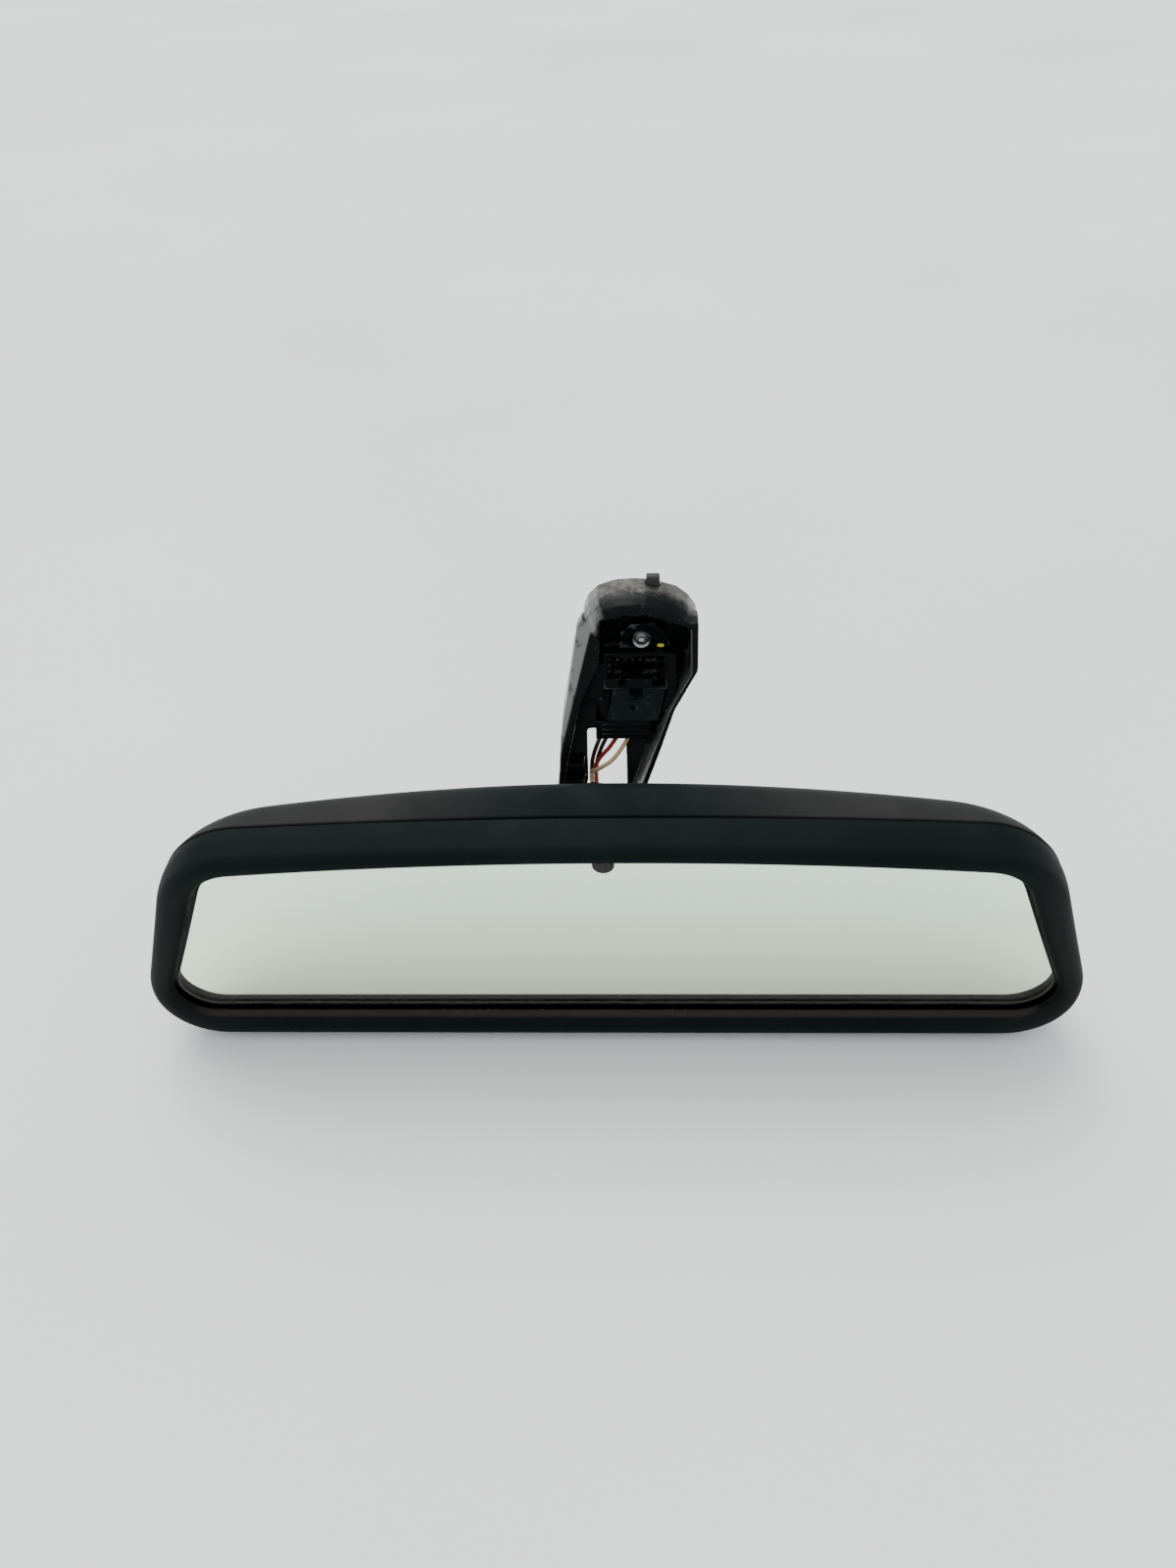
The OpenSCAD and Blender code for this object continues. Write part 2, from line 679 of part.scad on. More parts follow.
// Ribbed strip under the connector that guides the wires to the window
module cable_guide() {
    color("#121617") {
        intersection() {
            block([-12.3, -40, -19.6], [2.4, 0, -15.4]);
            guide_slab(3.6, 5);
        }
        for (i = [0:2]) intersection() {
            block([-10.6, -40, -18.7 + 1.1 * i], [1.8, 0, -18.2 + 1.1 * i]);
            guide_slab(3.2, 4.4);
        }
        for (x = [-12.3, 1.6]) intersection() {
            block([x, -40, -19.6], [x + 0.8, 0, -15.4]);
            across([[front_y(-15.4, 4.4), -15.4], [front_y(-19.6, 4.4), -19.6], [-16.3, -19.6],
                [-13.5, -15.4]]);
        }
    }
}

// Sheet between two depths behind the arm's sloping front face
module guide_slab(a, b) {
    across([[front_y(-15, a), -15], [front_y(-20, a), -20], [front_y(-20, b), -20], [front_y(-15, b), -15]]);
}

// ---------- wires ----------

// Route behind the leg and forward through the stud: on the inside of the bend with outer 0, outside with 1
function through_stud(dx, outer) = let (x = ball_x + dx, z = ball_z + (outer == 0 ? 0.65 : -0.65)) [
    [x, -22.8 + 1.3 * outer, -32.5],
    [x, -22.9 + 1.3 * outer, -35.5 - 0.5 * outer],
    [x, -24.1 + 1.4 * outer, -38.6 - outer],
    [x, -27.2 + 1.4 * outer, z + 0.15 + 0.2 * outer],
    [x, -31 + outer, z],
    [x, -40, z],
    [x, -50, z]];

module wire_red() {
    color("#a01818") tube(concat([[-4.5, -19.2, -15.6], [-6, -20.6, -19.5], [-8.6, -22.2, -23.2],
        [-11.4, -22.8, -26.5], [-12.75, -22.9, -29.4]], through_stud(0.65, 0)), wire_d);
}

module wire_cream() {
    color("#d8c090") tube(concat([[-1.5, -19.2, -15.6], [-3.2, -21, -20.2], [-7.4, -24.4, -25.4],
        [-11.2, -25.2, -28.2], [-13.6, -24.2, -30.2]], through_stud(-0.65, 0)), wire_d);
}

module wire_brown() {
    color("#3a2018") tube(concat([[-9, -18.2, -15.6], [-10.6, -19.4, -20], [-12.4, -20.8, -24],
        [-13.6, -21.4, -28]], through_stud(-0.65, 1)), wire_d);
}

module wire_black() {
    color("#101010") tube(concat([[-6.8, -18, -15.6], [-8.6, -19.2, -20], [-10.8, -20.6, -24],
        [-12.2, -21.4, -28]], through_stud(0.65, 1)), wire_d);
}

// Wires from the ball's front, over the socket's spring plate and down to the board's header
module head_wires() {
    axis = [ball_in_head[0], ball_in_head[2]];
    gap_y = plate_y - 0.75;
    color("#101010") in_head() for (w = [[-0.65, 0.65, 2.1, 27.6], [0.65, 0.65, 0.8, 26],
                                         [0.65, -0.65, -0.5, 24.4], [-0.65, -0.65, -1.8, 22.8]])
        tube([[axis[0] + w[0], plate_y + 1.2, axis[1] + w[1]],
            [axis[0] + w[0] + 0.2, plate_y - 0.4, axis[1] + w[2] - w[1] * 0.2],
            [axis[0] + 3, gap_y, axis[1] + w[2]],
            [11, gap_y, axis[1] - 1.2 + w[2]], [w[3] - 4, gap_y, -1 + w[2]], [w[3], gap_y, -7 + w[2] / 2],
            [w[3], gap_y + 0.5, -11.4], [w[3], gap_y + 3, -12.6]], 1);
}

arm_casting();
ball_stud();
stud_retainer();
mount_spring();
spring_rivet();
locating_peg();
paint_dot();
connector_carrier();
connector_housing();
connector_pins();
connector_lock();
cable_guide();
wire_red();
wire_cream();
wire_brown();
wire_black();
seat_ring();
seat_cup();
bezel();
rear_housing();
front_glass();
cell_seal();
mirror_glass();
bus_clips();
foam_pad();
glass_carrier();
circuit_board();
board_header();
board_chips();
board_capacitors();
board_screws();
glare_sensor();
sensor_window();
ambient_sensor();
ambient_lens();
status_led();
status_lens();
socket_base();
socket_cap();
clamp_spring();
spring_plate();
socket_screws();
head_wires();
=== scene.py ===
"""Interior rearview mirror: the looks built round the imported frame.

Lengths are metres; MM turns millimetres into them.
"""

import json
import math

import bmesh
import bpy
from mathutils import Matrix, Vector


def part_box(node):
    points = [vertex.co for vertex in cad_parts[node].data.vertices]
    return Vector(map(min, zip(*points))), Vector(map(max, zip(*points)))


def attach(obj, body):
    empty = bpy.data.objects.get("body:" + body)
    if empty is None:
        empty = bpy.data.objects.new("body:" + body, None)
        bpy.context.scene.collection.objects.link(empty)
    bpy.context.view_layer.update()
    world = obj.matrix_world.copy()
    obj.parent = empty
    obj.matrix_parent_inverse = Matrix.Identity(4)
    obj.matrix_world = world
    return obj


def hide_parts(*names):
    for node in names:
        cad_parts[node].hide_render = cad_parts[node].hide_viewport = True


MM = 0.001

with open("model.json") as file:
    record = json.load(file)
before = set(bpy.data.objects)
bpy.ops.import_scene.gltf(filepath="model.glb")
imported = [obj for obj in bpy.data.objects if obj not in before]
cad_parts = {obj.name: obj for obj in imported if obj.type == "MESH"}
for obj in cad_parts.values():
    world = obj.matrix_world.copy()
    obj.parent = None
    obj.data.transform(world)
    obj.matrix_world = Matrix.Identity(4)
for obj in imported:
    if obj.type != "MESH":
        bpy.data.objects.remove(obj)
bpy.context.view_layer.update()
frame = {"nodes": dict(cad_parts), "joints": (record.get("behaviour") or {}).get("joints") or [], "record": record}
nodes = frame["nodes"]

# ---------- places and sizes taken from the frame ----------

glass_low, glass_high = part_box("front_glass")
GLASS = Vector(((glass_low.x + glass_high.x) / 2, glass_low.y, (glass_low.z + glass_high.z) / 2))
BALL = Vector(frame["joints"][0]["pos_m"])
FLOOR_GAP = 0.4 * MM
FLOOR_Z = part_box("status_lens")[0].z - FLOOR_GAP

# The ball stud: where its collar sits in the arm, where it ends, and its radii
STUD_SEAT = -34.5 * MM
STUD_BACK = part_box("ball_stud")[1].y
BALL_R = 8.5 * MM
NECK_R = 4.2 * MM
COLLAR_R = 7 * MM
SHANK_R = 5 * MM
CABLE_R = 2.6 * MM

# The glass opening, in millimetres: height, half widths below and above, crown and corner radii, and how
# far its upper corners move out for each millimetre that the lower ones do
OPEN_H = 54.5
OPEN_LOW = 120
OPEN_HIGH = 99.6
CROWN = 4.5
CORNER_LOW = 10
CORNER_HIGH = 12
TOP_GROWTH = 0.87

# Points along each corner, each long edge and each side edge of a casing ring, and rings to each span
ARC_STEPS = 20
LONG_STEPS = 40
SIDE_STEPS = 8
SPAN_STEPS = 6

# Points closer than this are one point, and faces turned less than this from each other are one face
WELD = 1e-6
CAD_WELD = 2e-6
FLAT = math.radians(1)

# Grid and rounds of smoothing that soften the cast arm
CAST_VOXEL = 0.36 * MM
CAST_ROUNDS = 8

# The camera: turn, downward tilt and lean in degrees, place from the glass, lens and film in millimetres
CAMERA_YAW = -3.79
CAMERA_PITCH = 38.71
CAMERA_ROLL = -2.89
CAMERA_PLACE = Vector((11.2, -207, 216.35)) * MM
LENS = 27
FILM_HEIGHT = 36


# ---------- mesh helpers ----------

def new_object(name, data):
    """Object made of a mesh, camera or light, linked into the scene."""
    obj = bpy.data.objects.new(name, data)
    bpy.context.scene.collection.objects.link(obj)
    return obj


def shade(obj, angle=35):
    """Smooth shading, with edges sharper than the angle kept crisp."""
    work = bmesh.new()
    work.from_mesh(obj.data)
    bmesh.ops.recalc_face_normals(work, faces=work.faces)
    limit = math.radians(angle)
    for face in work.faces:
        face.smooth = True
    for edge in work.edges:
        edge.smooth = len(edge.link_faces) == 2 and edge.calc_face_angle(0) < limit
    work.to_mesh(obj.data)
    work.free()
    return obj


def loft(name, rings, looped, capped=False, angle=35):
    """A skin of quads over rings of equally many points; looped closes it, capped gives it ends."""
    count = len(rings[0])
    points = [p for ring in rings for p in ring]
    faces = []
    for j in range(len(rings) if looped else len(rings) - 1):
        a = j * count
        b = (j + 1) % len(rings) * count
        for i in range(count):
            k = (i + 1) % count
            faces.append((a + i, a + k, b + k, b + i))
    if capped:
        faces.append(tuple(range(count - 1, -1, -1)))
        faces.append(tuple((len(rings) - 1) * count + i for i in range(count)))
    mesh = bpy.data.meshes.new(name)
    mesh.from_pydata(points, [], faces)
    return shade(new_object(name, mesh), angle)


def spline(points, steps):
    """Smooth curve through lists of numbers, steps to each span, both ends kept."""
    out = []
    last = len(points) - 1
    for i in range(last):
        p0, p1 = points[max(i - 1, 0)], points[i]
        p2, p3 = points[i + 1], points[min(i + 2, last)]
        for s in range(steps):
            t = s / steps
            out.append([0.5 * (2 * b + (c - a) * t + (2 * a - 5 * b + 4 * c - d) * t * t
                               + (3 * b - a - 3 * c + d) * t ** 3) for a, b, c, d in zip(p0, p1, p2, p3)])
    return out + [list(points[last])]


def lathe(name, profile, centre, steps=64, angle=35):
    """Turns (radius, y) pairs about an axis along Y through the centre; a closed outline."""
    rings = []
    for i in range(steps):
        a = 2 * math.pi * i / steps
        rings.append([centre + Vector((r * math.cos(a), y, r * math.sin(a))) for r, y in profile])
    return shade(merged(loft(name, rings, True, angle=180)), angle)


def merged(obj, distance=WELD):
    """The object with points at the same place made one."""
    work = bmesh.new()
    work.from_mesh(obj.data)
    bmesh.ops.remove_doubles(work, verts=work.verts, dist=distance)
    work.to_mesh(obj.data)
    work.free()
    return obj


def arc(radius, start, end, steps, middle=(0, 0)):
    """Points (radius, y) on a circle from one angle to another, in degrees from +Y."""
    turns = [math.radians(start + (end - start) * i / steps) for i in range(steps + 1)]
    return [(middle[0] + radius * math.sin(a), middle[1] + radius * math.cos(a)) for a in turns]


def tube(name, route, diameter, steps=8, sides=14):
    """Round tube along a smooth curve through the route's points."""
    path = [Vector(p) for p in spline(route, steps)]
    side = Vector((0.9, 0.1, 0.3)).normalized()  # any start that no route runs along
    rings = []
    for i, p in enumerate(path):
        ahead = (path[min(i + 1, len(path) - 1)] - path[max(i - 1, 0)]).normalized()
        side = (side - ahead * side.dot(ahead)).normalized()
        up = ahead.cross(side)
        rings.append([p + diameter / 2 * (side * math.cos(a) + up * math.sin(a))
                      for a in (2 * math.pi * k / sides for k in range(sides))])
    return loft(name, rings, False, capped=True, angle=60)


def evaluated(obj):
    """Replaces the mesh by what its modifiers make of it."""
    graph = bpy.context.evaluated_depsgraph_get()
    mesh = bpy.data.meshes.new_from_object(obj.evaluated_get(graph))
    obj.modifiers.clear()
    obj.data = mesh
    return obj


def copied(node):
    """A copy of a CAD node's mesh, in its place, with its points welded and its flat faces joined."""
    piece = new_object(node + "_skin", nodes[node].data.copy())
    merged(piece, CAD_WELD)
    work = bmesh.new()
    work.from_mesh(piece.data)
    bmesh.ops.dissolve_limit(work, angle_limit=FLAT, verts=work.verts, edges=work.edges)
    work.to_mesh(piece.data)
    work.free()
    return piece


def bevelled(node, width, segments=2, angle=30):
    """The CAD node's shape with its edges rounded, as a moulding has them."""
    piece = copied(node)
    bevel = piece.modifiers.new("rounding", "BEVEL")
    bevel.width = width
    bevel.segments = segments
    bevel.limit_method = "ANGLE"
    bevel.angle_limit = math.radians(angle)
    bevel.use_clamp_overlap = True
    piece.modifiers.new("triangles", "TRIANGULATE")
    finer = piece.modifiers.new("finer", "SUBSURF")
    finer.subdivision_type = "SIMPLE"
    finer.levels = finer.render_levels = 2
    return shade(evaluated(piece), angle)


def cast(node, voxel, rounds):
    """The CAD node's shape remeshed on a voxel grid and smoothed, for the soft corners of a die casting."""
    piece = copied(node)
    remesh = piece.modifiers.new("skin", "REMESH")
    remesh.mode = "VOXEL"
    remesh.voxel_size = voxel
    smooth = piece.modifiers.new("soften", "SMOOTH")
    smooth.factor = 0.5
    smooth.iterations = rounds
    return shade(evaluated(piece), 60)


def placed(piece, body, slot, material, *replaced):
    """Puts a piece on its body in its material, and hides the CAD nodes it stands for; slot is not used."""
    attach(piece, body)
    piece.data.materials.clear()
    piece.data.materials.append(material)
    if replaced:
        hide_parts(*replaced)
    return piece


# ---------- material helpers ----------

class Paint:
    """A node material under construction: small wrappers that add and link nodes."""

    def __init__(self, name):
        self.material = bpy.data.materials.new(name)
        self.material.use_nodes = True
        self.tree = self.material.node_tree
        self.shader = next(n for n in self.tree.nodes if n.type == "BSDF_PRINCIPLED")
        self.place = self.tree.nodes.new("ShaderNodeTexCoord").outputs["Object"]
        geometry = self.tree.nodes.new("ShaderNodeNewGeometry").outputs
        self.facing, self.pointiness = geometry["Normal"], geometry["Pointiness"]

    def node(self, kind, **inputs):
        made = self.tree.nodes.new(kind)
        for key, value in inputs.items():
            self.feed(made.inputs[key.replace("_", " ")], value)
        return made

    def feed(self, socket, value):
        if isinstance(value, bpy.types.NodeSocket):
            self.tree.links.new(value, socket)
        else:
            socket.default_value = value

    def noise(self, scale, detail=4.0, rough=0.55, stretch=None):
        where = self.place
        if stretch:
            where = self.node("ShaderNodeMapping", Vector=self.place, Scale=stretch).outputs["Vector"]
        made = self.node("ShaderNodeTexNoise", Vector=where, Scale=scale, Detail=detail, Roughness=rough)
        return made.outputs["Fac"]

    def ramp(self, value, low, high, out_low=0.0, out_high=1.0, smooth=False):
        made = self.tree.nodes.new("ShaderNodeMapRange")
        made.interpolation_type = "SMOOTHSTEP" if smooth else "LINEAR"
        for key, number in (("Value", value), ("From Min", low), ("From Max", high),
                            ("To Min", out_low), ("To Max", out_high)):
            self.feed(made.inputs[key], number)
        return made.outputs["Result"]

    def math(self, how, a, b=0.0):
        made = self.tree.nodes.new("ShaderNodeMath")
        made.operation = how
        self.feed(made.inputs[0], a)
        self.feed(made.inputs[1], b)
        return made.outputs[0]

    def mix(self, amount, a, b):
        made = self.tree.nodes.new("ShaderNodeMix")
        made.data_type = "RGBA"
        self.feed(made.inputs[0], amount)
        self.feed(made.inputs[6], a if isinstance(a, bpy.types.NodeSocket) else (*a, 1.0))
        self.feed(made.inputs[7], b if isinstance(b, bpy.types.NodeSocket) else (*b, 1.0))
        return made.outputs[2]

    def bump(self, height, strength, distance, under=None):
        made = self.node("ShaderNodeBump", Height=height, Strength=strength, Distance=distance)
        if under is not None:
            self.feed(made.inputs["Normal"], under)
        return made.outputs["Normal"]

    def split(self, vector):
        return self.node("ShaderNodeSeparateXYZ", Vector=vector).outputs

    def set(self, **values):
        for key, value in values.items():
            self.feed(self.shader.inputs[key.replace("_", " ")], value)
        return self.material


def tinted(base, amount):
    """A colour made lighter or darker."""
    return tuple(c * amount for c in base)


def moulded(name, base, rough=0.5, grain=2600, depth=0.03, wear_and_highlight=None, specular=0.45):
    """Moulded plastic: fine spark-eroded grain, faint mottling, rubbed patches, and paler edges that are partly
    rubbed wear and partly painted edge highlights.
    """
    p = Paint(name)
    mottle = p.ramp(p.noise(60, 3), 0.3, 0.7)
    colour = p.mix(mottle, tinted(base, 0.84), tinted(base, 1.16))
    if wear_and_highlight:
        rubbed = p.ramp(p.noise(420, 6, 0.7), 0.60, 0.74)
        patches = p.ramp(p.noise(34, 2), 0.55, 0.75)
        colour = p.mix(p.math("MULTIPLY", p.math("MULTIPLY", rubbed, patches), 0.5), colour, wear_and_highlight)
        # Paler convex edges: partly rubbed wear, partly painted edge highlights.
        colour = p.mix(p.ramp(p.pointiness, 0.54, 0.62, 0, 0.9), colour, wear_and_highlight)
    fine = p.noise(grain, 3, 0.6)
    normal = p.bump(fine, 0.5, depth * MM)
    roughness = p.ramp(p.noise(150, 4), 0.25, 0.75, rough - 0.06, rough + 0.08)
    return p.set(Base_Color=colour, Roughness=roughness, Normal=normal, Specular_IOR_Level=specular)


def plated(name, base, rough=0.28, scale=900, stretch=(1, 1, 1)):
    """Bright or satin metal with faint brushing and small dull spots."""
    p = Paint(name)
    brushed = p.noise(scale, 5, 0.6, stretch)
    spots = p.ramp(p.noise(240, 4), 0.45, 0.75)
    colour = p.mix(spots, base, tinted(base, 0.72))
    roughness = p.ramp(brushed, 0.2, 0.8, rough * 0.8, rough * 1.5)
    normal = p.bump(brushed, 0.3, 0.02 * MM)
    return p.set(Base_Color=colour, Metallic=1.0, Roughness=roughness, Normal=normal)


# ---------- materials ----------

def bezel_plastic():
    """Grained black plastic with lighter scuffs; painted light makes its outer ends lighter and warmer and its
    upward faces low on the frame a lighter brown.
    """
    p = Paint("bezel_plastic")
    mottle = p.ramp(p.noise(45, 3), 0.3, 0.7)
    colour = p.mix(mottle, (0.0018, 0.0046, 0.0044), (0.0032, 0.0066, 0.0064))
    # Painted light: the frame's outer ends are made lighter and warmer, as where their faces turn to the light.
    across = p.math("ABSOLUTE", p.math("SUBTRACT", p.split(p.place)[0], GLASS.x))
    colour = p.mix(p.ramp(across, 90 * MM, 120 * MM, 0, 0.55, True), colour, (0.0140, 0.0140, 0.0130))
    # Painted highlight: faces turned upwards low on the frame are made a lighter brown, as lit from above.
    low = p.ramp(p.split(p.place)[2], GLASS.z - 22 * MM, GLASS.z - 12 * MM, 1, 0)
    painted_lower_lip_light = p.math("MULTIPLY", p.ramp(p.split(p.facing)[2], 0.75, 0.97), low)
    colour = p.mix(painted_lower_lip_light, colour, (0.034, 0.028, 0.025))
    scuffs = p.math("MULTIPLY", p.ramp(p.noise(700, 6, 0.7), 0.62, 0.72), p.ramp(p.noise(55, 2), 0.58, 0.72))
    colour = p.mix(p.math("MULTIPLY", scuffs, 0.35), colour, (0.09, 0.09, 0.085))
    grain = p.bump(p.noise(2300, 3, 0.6), 0.55, 0.035 * MM)
    roughness = p.ramp(p.noise(120, 4), 0.25, 0.75, 0.50, 0.62)
    return p.set(Base_Color=colour, Roughness=roughness, Normal=grain, Specular_IOR_Level=0.05)


def housing_plastic():
    """Grained charcoal plastic of the back shell, painted darker in the middle as painted shade."""
    p = Paint("housing_plastic")
    mottle = p.ramp(p.noise(40, 3), 0.3, 0.7)
    colour = p.mix(mottle, (0.0150, 0.0152, 0.0145), (0.0200, 0.0200, 0.0188))
    # Painted shade: the middle of the shell, behind the arm, is made darker and more teal.
    across = p.math("ABSOLUTE", p.math("SUBTRACT", p.split(p.place)[0], GLASS.x))
    colour = p.mix(p.ramp(across, 15 * MM, 62 * MM, 1, 0, True), colour, (0.0012, 0.0040, 0.0038))
    grain = p.bump(p.noise(2000, 3, 0.6), 0.6, 0.04 * MM)
    roughness = p.ramp(p.noise(120, 4), 0.25, 0.75, 0.55, 0.68)
    return p.set(Base_Color=colour, Roughness=roughness, Normal=grain, Specular_IOR_Level=0.08)


def cast_arm():
    """Black-painted die casting, rubbed to bare grey metal on the foot's rim, on edges and chips and on the outer
    walls; the left wall's lighter tone is painted light, and the right wall's low strip stands in partly for a
    painted highlight.
    """
    p = Paint("cast_arm")
    place, facing = p.split(p.place), p.split(p.facing)
    y, z = place[1], place[2]
    nx, nz = facing[0], facing[2]
    ragged = p.math("MULTIPLY", p.math("SUBTRACT", p.noise(260, 6, 0.7), 0.5), 9 * MM)
    depth = p.math("ADD", y, ragged)
    rim = p.ramp(depth, -8.5 * MM, -5.0 * MM, 0, 1, True)
    rim = p.math("MULTIPLY", rim, p.ramp(z, -6 * MM, 2 * MM))
    # Left outer wall: bare metal from wear; its lighter tone below is painted light.
    left = p.ramp(nx, -0.35, -0.62)
    left = p.math("MULTIPLY", left, p.ramp(p.noise(180, 5), 0.25, 0.45))
    # Right wall low down: bare metal that stands in partly for a painted highlight strip along that edge.
    right = p.math("MULTIPLY", p.ramp(nx, 0.60, 0.85), p.ramp(z, -10 * MM, -13 * MM))
    chips = p.math("MULTIPLY", p.ramp(p.noise(900, 6, 0.75), 0.62, 0.68), p.ramp(p.noise(110, 3), 0.5, 0.62))
    chips = p.math("MULTIPLY", chips, p.ramp(nz, 0.1, 0.4))
    chips = p.math("MAXIMUM", chips, p.ramp(p.pointiness, 0.54, 0.62, 0, 0.6))
    bare = p.math("MAXIMUM", p.math("MAXIMUM", rim, left), p.math("MAXIMUM", right, chips))
    stained = p.ramp(p.noise(380, 6, 0.7), 0.3, 0.7)
    metal = p.mix(stained, (0.040, 0.038, 0.034), (0.135, 0.130, 0.116))
    # Painted light: the left-facing metal is made the lightest, as the side that faces the light.
    metal = p.mix(left, metal, (0.16, 0.165, 0.155))
    colour = p.mix(bare, (0.0014, 0.0024, 0.0025), metal)
    pits = p.noise(1500, 4, 0.65)
    normal = p.bump(pits, 0.5, 0.06 * MM)
    normal = p.bump(bare, 0.35, -0.06 * MM, normal)
    roughness = p.ramp(p.noise(400, 4), 0.3, 0.7, 0.20, 0.38)
    metallic = p.math("MULTIPLY", bare, 0.75)
    return p.set(Base_Color=colour, Metallic=metallic, Roughness=roughness, Normal=normal,
                 Specular_IOR_Level=0.08)


def clear_glass():
    """Front glass, thinly dusted; its low IOR keeps the floor's reflection off the sensor spot."""
    p = Paint("clear_glass")
    dust = p.ramp(p.noise(1400, 3, 0.7), 0.66, 0.80, 0.0, 0.02)
    return p.set(Base_Color=(0.985, 1.0, 0.985, 1), Roughness=dust, Transmission_Weight=1.0, IOR=1.2)


def mirror():
    """Silvered glass with a greenish cast that warms a little towards its lower edge."""
    p = Paint("mirror")
    height = p.ramp(p.split(p.place)[2], GLASS.z - 22 * MM, GLASS.z + 10 * MM, 0, 1, True)
    colour = p.mix(height, (0.95, 1.0, 0.80), (0.85, 1.0, 0.82))
    haze = p.ramp(p.noise(35, 3), 0.3, 0.8, 0.015, 0.05)
    return p.set(Base_Color=colour, Metallic=1.0, Roughness=haze)


def tinted_lens(name, base):
    """Coated plastic lens, slightly uneven in tone."""
    p = Paint(name)
    colour = p.mix(p.noise(500, 3), tinted(base, 0.85), tinted(base, 1.2))
    return p.set(Base_Color=colour, Roughness=p.ramp(p.noise(300), 0.3, 0.7, 0.08, 0.16), Coat_Weight=0.4)


def insulation(name, base):
    """Soft plastic of a wire, slightly uneven in tone."""
    p = Paint(name)
    colour = p.mix(p.noise(300, 3), tinted(base, 0.75), tinted(base, 1.15))
    return p.set(Base_Color=colour, Roughness=p.ramp(p.noise(700), 0.3, 0.7, 0.32, 0.5),
                 Normal=p.bump(p.noise(1800, 2), 0.2, 0.02 * MM))


def solder_mask():
    """Green board with paler, raised tracks."""
    p = Paint("board_green")
    tracks = p.ramp(p.noise(260, 1, 0.3, (1, 1, 0.15)), 0.48, 0.52)
    colour = p.mix(tracks, (0.012, 0.085, 0.035), (0.02, 0.13, 0.05))
    return p.set(Base_Color=colour, Roughness=0.3, Normal=p.bump(tracks, 0.3, 0.03 * MM))


MATERIALS = {
    "cast_arm": cast_arm(),
    "zinc_stud": plated("zinc_stud", (0.30, 0.31, 0.31), 0.26),
    "spring_steel": plated("spring_steel", (0.58, 0.58, 0.57), 0.26, 700, (1, 6, 1)),
    "rubber_peg": moulded("rubber_peg", (0.022, 0.020, 0.021), 0.72, 1500, 0.05),
    "yellow_paint": moulded("yellow_paint", (0.42, 0.42, 0.035), 0.45, 900, 0.05),
    "insert_plastic": moulded("insert_plastic", (0.0014, 0.0020, 0.0021), 0.42, 2600, 0.02,
                             (0.075, 0.082, 0.082), 0.06),
    "lock_plastic": moulded("lock_plastic", (0.0026, 0.0062, 0.0064), 0.40, 2600, 0.02,
                           (0.022, 0.032, 0.032), 0.08),
    "contact_gold": plated("contact_gold", (0.75, 0.55, 0.25), 0.22),
    "wire_red": insulation("wire_red", (0.30, 0.012, 0.010)),
    "wire_cream": insulation("wire_cream", (0.62, 0.42, 0.22)),
    "wire_brown": insulation("wire_brown", (0.050, 0.020, 0.012)),
    "wire_black": insulation("wire_black", (0.010, 0.010, 0.010)),
    "nylon_seat": moulded("nylon_seat", (0.62, 0.59, 0.50), 0.38, 1500, 0.02),
    "bezel_plastic": bezel_plastic(),
    "housing_plastic": housing_plastic(),
    "clear_glass": clear_glass(),
    "gel_seal": moulded("gel_seal", (0.030, 0.018, 0.012), 0.35, 1200, 0.02),
    "mirror": mirror(),
    "carrier_plastic": moulded("carrier_plastic", (0.016, 0.017, 0.018), 0.5),
    "foam": moulded("foam", (0.03, 0.035, 0.04), 0.9, 900, 0.2),
    "board_green": solder_mask(),
    "header_ivory": moulded("header_ivory", (0.62, 0.58, 0.44), 0.4),
    "chip_black": moulded("chip_black", (0.008, 0.008, 0.009), 0.45),
    "can_metal": plated("can_metal", (0.72, 0.72, 0.74), 0.3),
    "sensor_tint": moulded("sensor_tint", (0.006, 0.004, 0.0045), 0.35, 900, 0.01, None, 0.1),
    "led_white": tinted_lens("led_white", (0.75, 0.74, 0.68)),
    "led_lens": tinted_lens("led_lens", (0.030, 0.018, 0.035)),
}


# ---------- camera ----------

def photo_camera():
    """Above and in front of the glass, looking down at it, slightly turned and rolled."""
    yaw, pitch, roll = (math.radians(a) for a in (CAMERA_YAW, CAMERA_PITCH, CAMERA_ROLL))
    ahead = Vector((math.sin(yaw) * math.cos(pitch), math.cos(yaw) * math.cos(pitch), -math.sin(pitch)))
    level = Vector((math.cos(yaw), -math.sin(yaw), 0))
    upright = level.cross(ahead)
    right = math.cos(roll) * level + math.sin(roll) * upright
    up = math.cos(roll) * upright - math.sin(roll) * level
    data = bpy.data.cameras.new("camera")
    data.sensor_fit = "VERTICAL"
    data.sensor_height = FILM_HEIGHT
    data.lens = LENS
    data.clip_start = 0.01
    camera = new_object("camera", data)
    turn = Matrix((right, up, -ahead)).transposed().to_4x4()
    camera.matrix_world = Matrix.Translation(GLASS + CAMERA_PLACE) @ turn
    bpy.context.scene.camera = camera


photo_camera()


# ---------- head: casing ----------

def fillet(a, p, b, r):
    """Arc that rounds the corner p between the directions of a and b."""
    u, v = (a - p).normalized(), (b - p).normalized()
    half = u.angle(v) / 2
    centre = p + (u + v).normalized() * r / math.sin(half)
    spoke = p + u * r / math.tan(half) - centre
    sweep = math.pi - 2 * half
    out = []
    for i in range(ARC_STEPS + 1):
        t = sweep * i / ARC_STEPS
        out.append(centre + Vector((spoke.x * math.cos(t) - spoke.y * math.sin(t),
                                    spoke.x * math.sin(t) + spoke.y * math.cos(t))))
    return out


def between(a, b, count):
    """Evenly spaced points from a to b, without either."""
    return [a.lerp(b, i / (count + 1)) for i in range(1, count + 1)]


